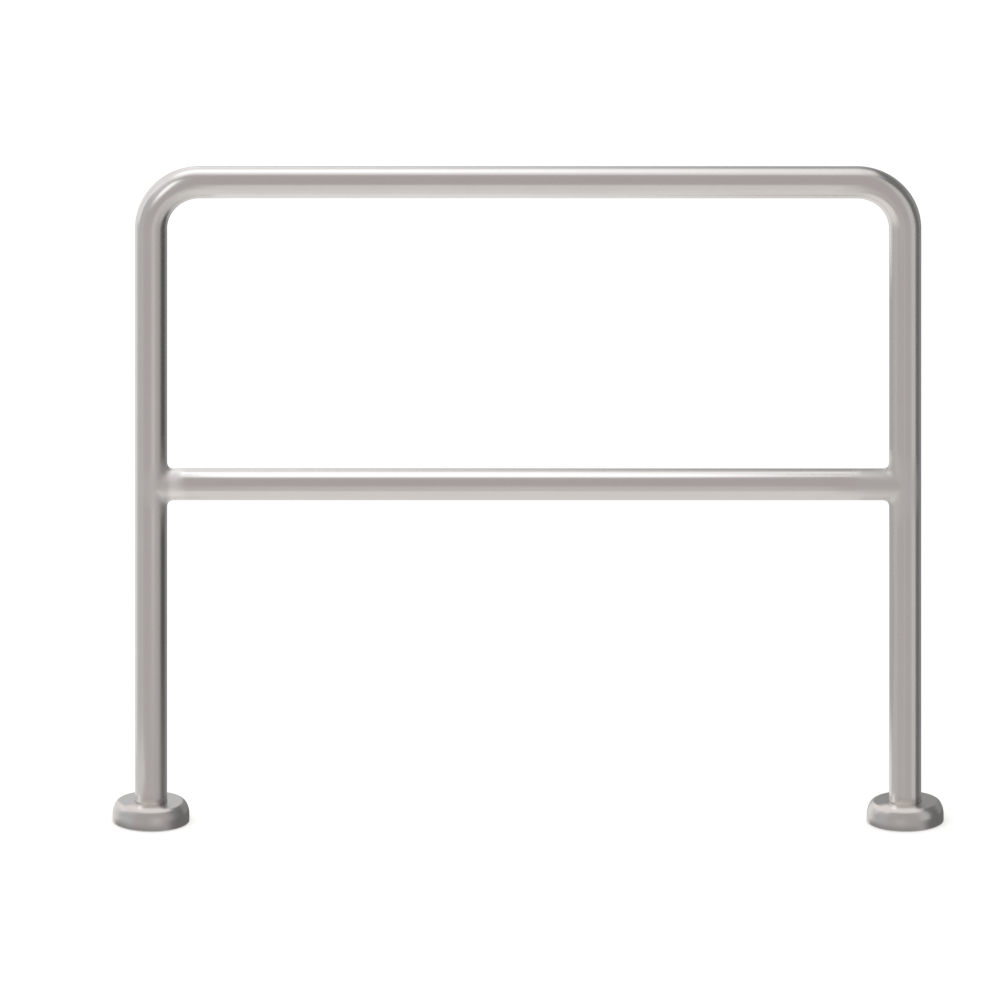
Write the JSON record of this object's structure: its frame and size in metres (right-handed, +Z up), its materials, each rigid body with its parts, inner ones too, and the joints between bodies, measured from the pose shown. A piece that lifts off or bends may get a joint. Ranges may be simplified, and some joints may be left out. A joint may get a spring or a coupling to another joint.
{
  "type": "handrail",
  "caption": "Welded satin-steel tube handrail with round bends and a mid rail, on floor flanges under loose round covers that slide up the posts to reach the anchors.",
  "frame": {"origin": "floor level, midway between the posts", "axes": "+X along the rails to the right, +Y from front to back, +Z up"},
  "size_m": [1.091, 0.101, 0.9],
  "materials": {
    "satin_tube": "satin-polished stainless tube, fine grain round the tube",
    "ground_weld": "weld ground and blended, hazier than the tube",
    "flange_plate": "laser-cut stainless plate, mill finish",
    "raw_weld": "pickled weld bead, left as welded",
    "cover_cap": "turned stainless cap, bright satin",
    "seal_rubber": "black EPDM O-ring"
  },
  "bodies": {
    "frame": {"top_rail": "satin_tube", "mid_rail": "satin_tube", "left_post": "satin_tube", "left_elbow": "satin_tube", "left_elbow_post_weld": "ground_weld", "left_elbow_rail_weld": "ground_weld", "left_mid_rail_weld": "ground_weld", "left_base_flange": "flange_plate", "left_flange_weld": "raw_weld", "right_post": "satin_tube", "right_elbow": "satin_tube", "right_elbow_post_weld": "ground_weld", "right_elbow_rail_weld": "ground_weld", "right_mid_rail_weld": "ground_weld", "right_base_flange": "flange_plate", "right_flange_weld": "raw_weld"},
    "left_cover_ring": {"left_cover_ring": "seal_rubber"},
    "left_cover": {"left_cover": "cover_cap"},
    "right_cover_ring": {"right_cover_ring": "seal_rubber"},
    "right_cover": {"right_cover": "cover_cap"}
  },
  "joints": [
    {"name": "left_cover_slide", "type": "slide", "parent": "frame", "child": "left_cover_ring", "axis": [0, 0, 1], "range_m": [0, 0.405]},
    {"name": "left_cover_turn", "type": "hinge", "parent": "left_cover_ring", "child": "left_cover", "pos_m": [-0.495, 0, 0], "axis": [0, 0, 1], "continuous": true},
    {"name": "right_cover_slide", "type": "slide", "parent": "frame", "child": "right_cover_ring", "axis": [0, 0, 1], "range_m": [0, 0.405]},
    {"name": "right_cover_turn", "type": "hinge", "parent": "right_cover_ring", "child": "right_cover", "pos_m": [0.495, 0, 0], "axis": [0, 0, 1], "continuous": true}
  ]
}
